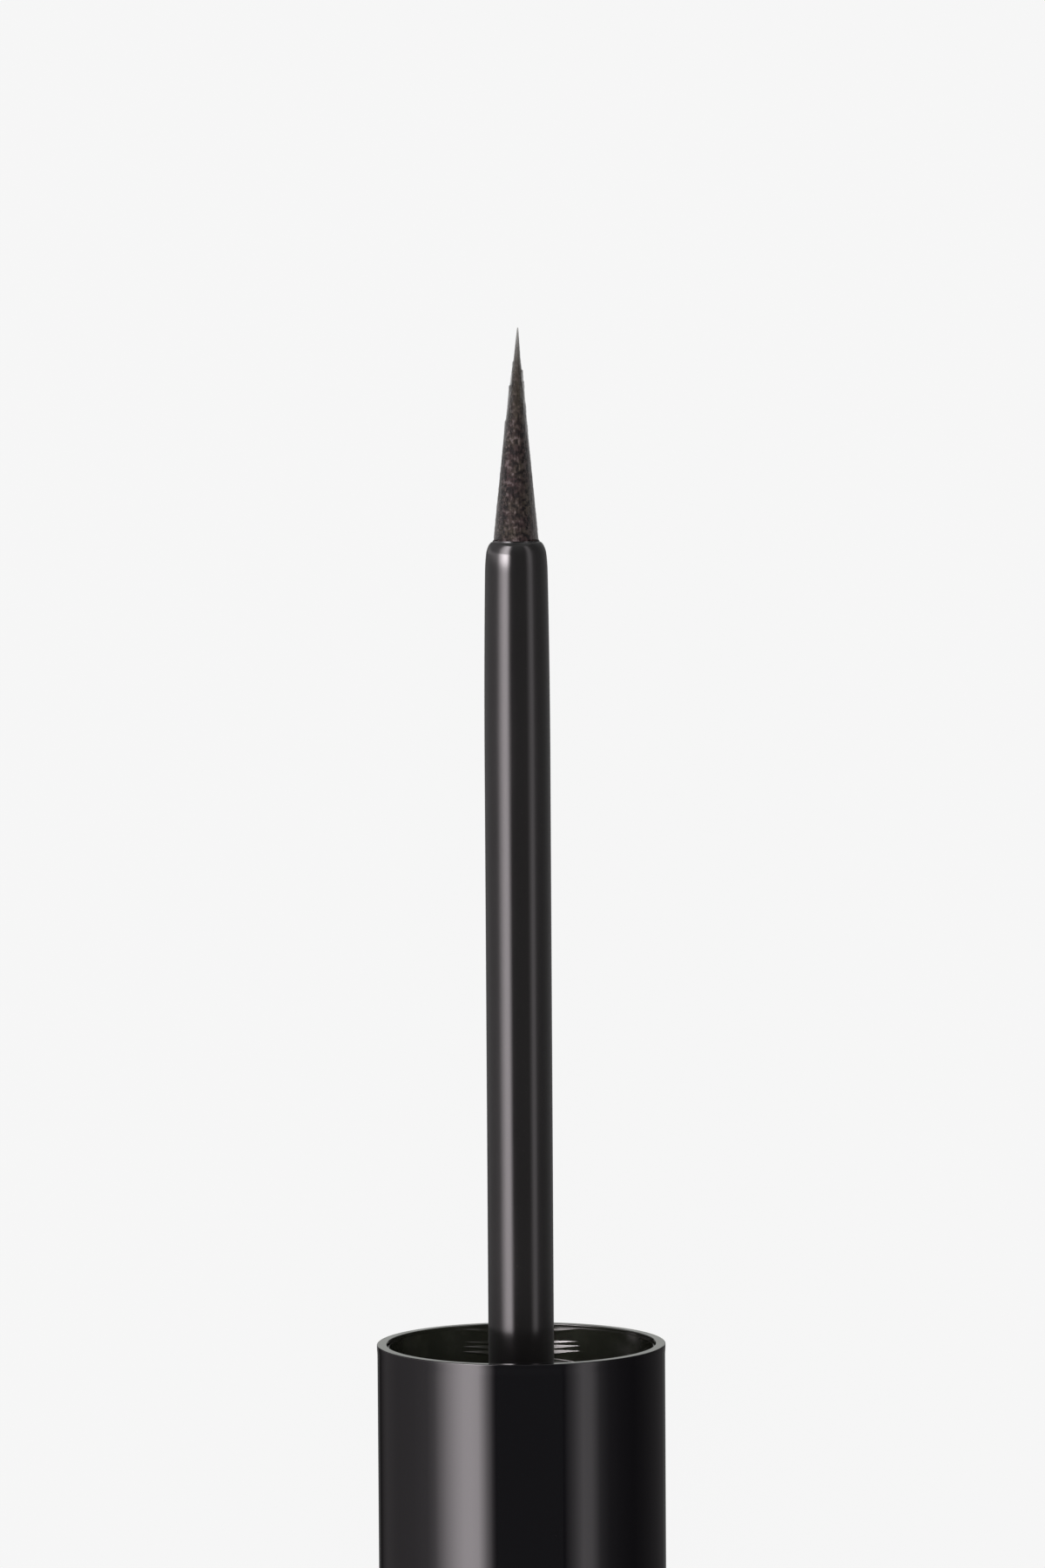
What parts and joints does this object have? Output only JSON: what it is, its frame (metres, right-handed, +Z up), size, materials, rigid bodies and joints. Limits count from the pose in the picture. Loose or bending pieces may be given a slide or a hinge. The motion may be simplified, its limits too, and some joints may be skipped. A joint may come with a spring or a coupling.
{
  "type": "liquid eyeliner pen",
  "caption": "Dip-type liquid eyeliner with the screw cap taken off: cap with wand and tapered fibre tip, and its bottle with threaded neck and wiper.",
  "frame": {"origin": "centre of the bottle's flat base, on the pen's axis", "axes": "+X along the pen's axis from the bottle to the cap, +Z up from the surface that both lie on"},
  "size_m": [0.1817, 0.0132, 0.0132],
  "materials": {
    "cap_black": "polished moulded plastic",
    "bottle_black": "polished moulded plastic",
    "stem_black": "polished moulded plastic",
    "insert_black": "satin moulded plastic",
    "vial_black": "satin moulded plastic",
    "wiper_natural": "soft translucent plastic, stained by the liquid",
    "seal_foam": "foamed plastic",
    "weight_steel": "turned, dull",
    "ball_steel": "polished",
    "fibre_brown": "dense fibre, dry with dark pigment",
    "ink_black": "liquid"
  },
  "bodies": {
    "bottle": {"bottle_sleeve": "bottle_black", "base_plug": "bottle_black", "vial": "vial_black", "wiper": "wiper_natural", "ink": "ink_black", "mixing_ball": "ball_steel"},
    "seal": {"cap_seal": "seal_foam"},
    "applicator": {"cap_shell": "cap_black", "inner_cap": "insert_black", "cap_weight": "weight_steel", "stem": "stem_black", "fibre_tip": "fibre_brown"}
  },
  "joints": [
    {"name": "insert_wand", "type": "slide", "parent": "bottle", "child": "seal", "axis": [-1, 0, 0], "range_m": [0, 0.07535]},
    {"name": "screw_cap", "type": "hinge", "parent": "seal", "child": "applicator", "pos_m": [0.12975, 0, 0], "axis": [-1, 0, 0], "range_deg": [0, 720]}
  ]
}
